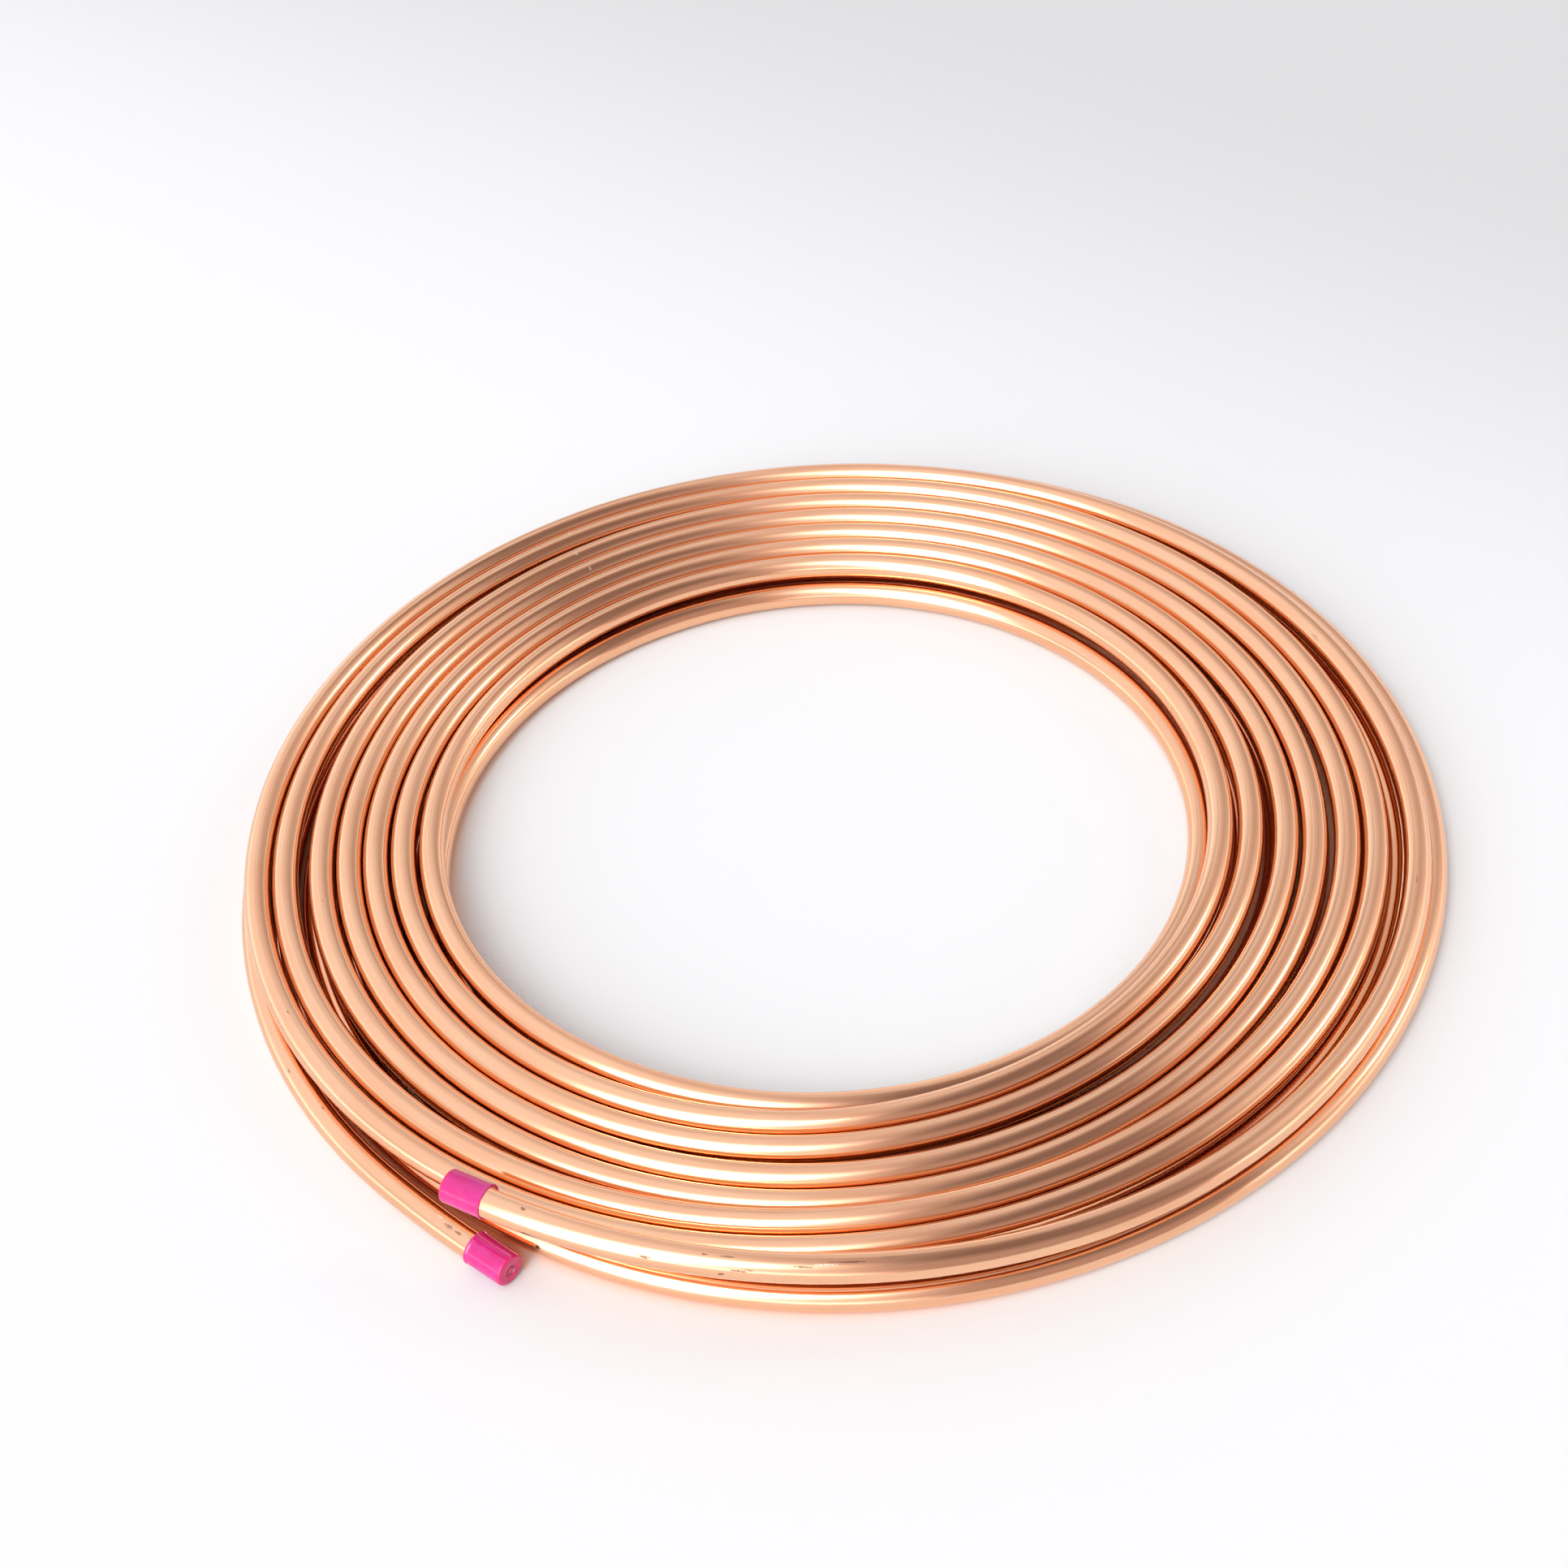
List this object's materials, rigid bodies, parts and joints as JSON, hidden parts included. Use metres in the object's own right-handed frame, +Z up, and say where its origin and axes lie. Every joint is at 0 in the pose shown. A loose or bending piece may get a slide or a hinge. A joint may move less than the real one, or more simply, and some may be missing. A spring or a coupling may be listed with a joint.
{
  "type": "copper tube coil",
  "caption": "Flat coil of soft copper tube wound in two layers around an open centre, with push-on plastic caps on both free ends.",
  "frame": {"origin": "centre of the coil's outline, on the level surface that it lies on", "axes": "+Z up, square to the flat coil; -Y towards the viewer, with the two free ends at the front left"},
  "size_m": [0.4358, 0.4242, 0.0341],
  "materials": {
    "copper": "bright drawn copper with faint handling marks",
    "cap_plastic": "smooth moulded plastic, slightly translucent"
  },
  "bodies": {
    "root": {"copper_tube": "copper", "lower_end_cap": "cap_plastic", "upper_end_cap": "cap_plastic"}
  },
  "joints": []
}
